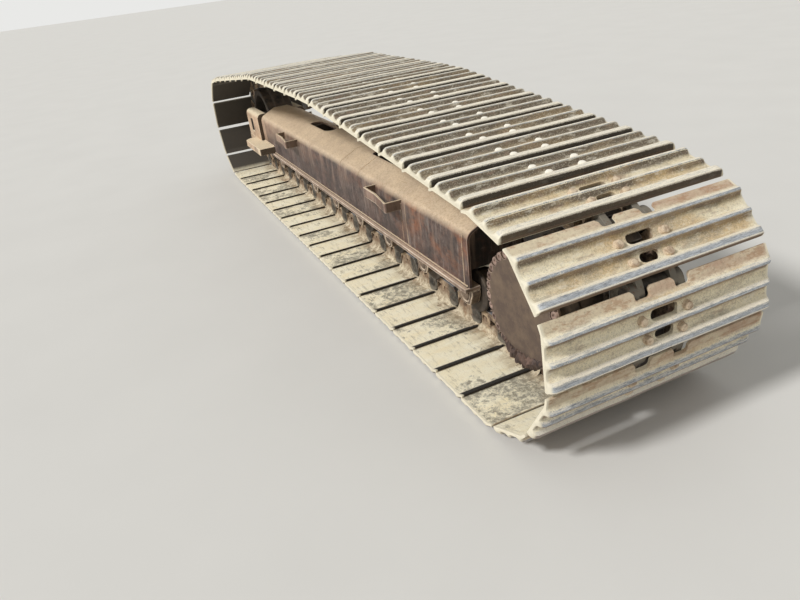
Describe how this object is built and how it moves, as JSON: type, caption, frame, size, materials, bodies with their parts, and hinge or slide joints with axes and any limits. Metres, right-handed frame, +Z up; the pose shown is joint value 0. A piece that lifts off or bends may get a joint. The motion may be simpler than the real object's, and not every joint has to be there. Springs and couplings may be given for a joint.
{
  "type": "excavator crawler track unit",
  "caption": "One side of a crawler undercarriage: a box beam with drive sprocket, idler and rollers inside a closed loop of triple-bar steel shoes.",
  "frame": {"origin": "on the ground, under the middle of the track's length and width", "axes": "+X forward along the track to the idler, +Y outboard (left side of the machine), +Z up"},
  "size_m": [4.448, 0.8, 0.911],
  "materials": {
    "shoe_steel": "dusty rolled steel with polished bar tips",
    "cast_steel": "dark greasy casting with dust",
    "frame_paint": "old dark brown paint, rusty, dusty on top",
    "cover_paint": "matt dark purple-brown paint",
    "spring_paint": "dull red-brown paint"
  },
  "bodies": {
    "root": {"track": "shoe_steel", "track_frame": "frame_paint", "flange_outboard": "frame_paint", "flange_inboard": "frame_paint", "rear_bulkhead": "frame_paint", "step_rear": "frame_paint", "step_front": "frame_paint", "guide_plate_outboard": "frame_paint", "guide_plate_inboard": "frame_paint", "idler_block_outboard": "frame_paint", "idler_block_inboard": "frame_paint", "idler_wheel": "cast_steel", "idler_shaft": "cast_steel", "adjuster_yoke": "cast_steel", "recoil_spring": "spring_paint", "grease_cylinder": "cast_steel", "bottom_roller_1": "cast_steel", "bottom_roller_2": "cast_steel", "bottom_roller_3": "cast_steel", "bottom_roller_4": "cast_steel", "bottom_roller_5": "cast_steel", "bottom_roller_6": "cast_steel", "bottom_roller_7": "cast_steel", "bottom_roller_8": "cast_steel", "carrier_roller_rear": "cast_steel", "carrier_roller_front": "cast_steel", "carrier_bracket_rear": "frame_paint", "carrier_bracket_front": "frame_paint", "drive_mount": "frame_paint", "drive_hub": "cast_steel", "drive_housing": "cast_steel", "drive_cover": "cover_paint", "sprocket": "cast_steel", "travel_motor": "cast_steel", "motor_guard": "frame_paint", "mounting_pad_rear": "frame_paint", "mounting_pad_front": "frame_paint"}
  },
  "joints": []
}
